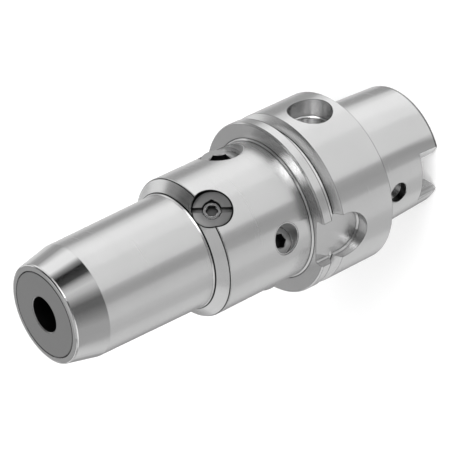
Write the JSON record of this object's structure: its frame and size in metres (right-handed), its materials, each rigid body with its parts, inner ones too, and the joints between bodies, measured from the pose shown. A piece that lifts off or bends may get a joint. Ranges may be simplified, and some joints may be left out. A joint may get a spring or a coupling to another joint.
{
  "type": "hydraulic expansion chuck",
  "caption": "Tool holder on a short hollow taper shank: a slender nose with an oil-squeezed bore for a round tool shank, and a slotted bush with a hexagon clamping screw at the shoulder.",
  "frame": {"origin": "centre of the gauge plane, where the axis meets the flange face that seats on the machine spindle", "axes": "+Z along the chuck's axis towards the nose, +X through the shallow flange keyway and one drive slot, +Y through the round data-chip pocket"},
  "size_m": [0.04, 0.04, 0.1],
  "materials": {
    "body_steel": "fine ground, satin",
    "sleeve_steel": "fine turned face",
    "dark_steel": "blackened steel, matt",
    "screw_steel": "satin",
    "inner_steel": "ground",
    "set_screw_steel": "satin",
    "ball_steel": "polished",
    "seal_rubber": "matt black"
  },
  "bodies": {
    "holder": {"chuck_body": "body_steel", "expansion_sleeve": "sleeve_steel", "clamping_bush": "dark_steel", "large_balancing_screws": "set_screw_steel", "small_balancing_screws": "set_screw_steel", "fill_screw": "set_screw_steel", "sealing_ball": "ball_steel"},
    "clamping_screw": {"clamping_screw": "screw_steel"},
    "pressure_piston": {"pressure_piston": "inner_steel", "piston_seal": "seal_rubber"},
    "length_stop": {"length_stop": "inner_steel"}
  },
  "joints": [
    {"name": "clamping_screw_turn", "type": "hinge", "parent": "holder", "child": "clamping_screw", "pos_m": [0.00715, 0.01238, 0.0407], "axis": [-0.4698, -0.8138, -0.342], "range_deg": [0, 720]},
    {"name": "piston_slide", "type": "slide", "parent": "holder", "child": "pressure_piston", "axis": [-0.4698, -0.8138, -0.342], "range_m": [0, 0.0009]},
    {"name": "length_stop_slide", "type": "slide", "parent": "holder", "child": "length_stop", "axis": [0, 0, 1], "range_m": [0, 0.01]}
  ],
  "couplings": [
    {"joint": "clamping_screw_turn", "follows": "piston_slide", "rad_per_m": 13963}
  ]
}
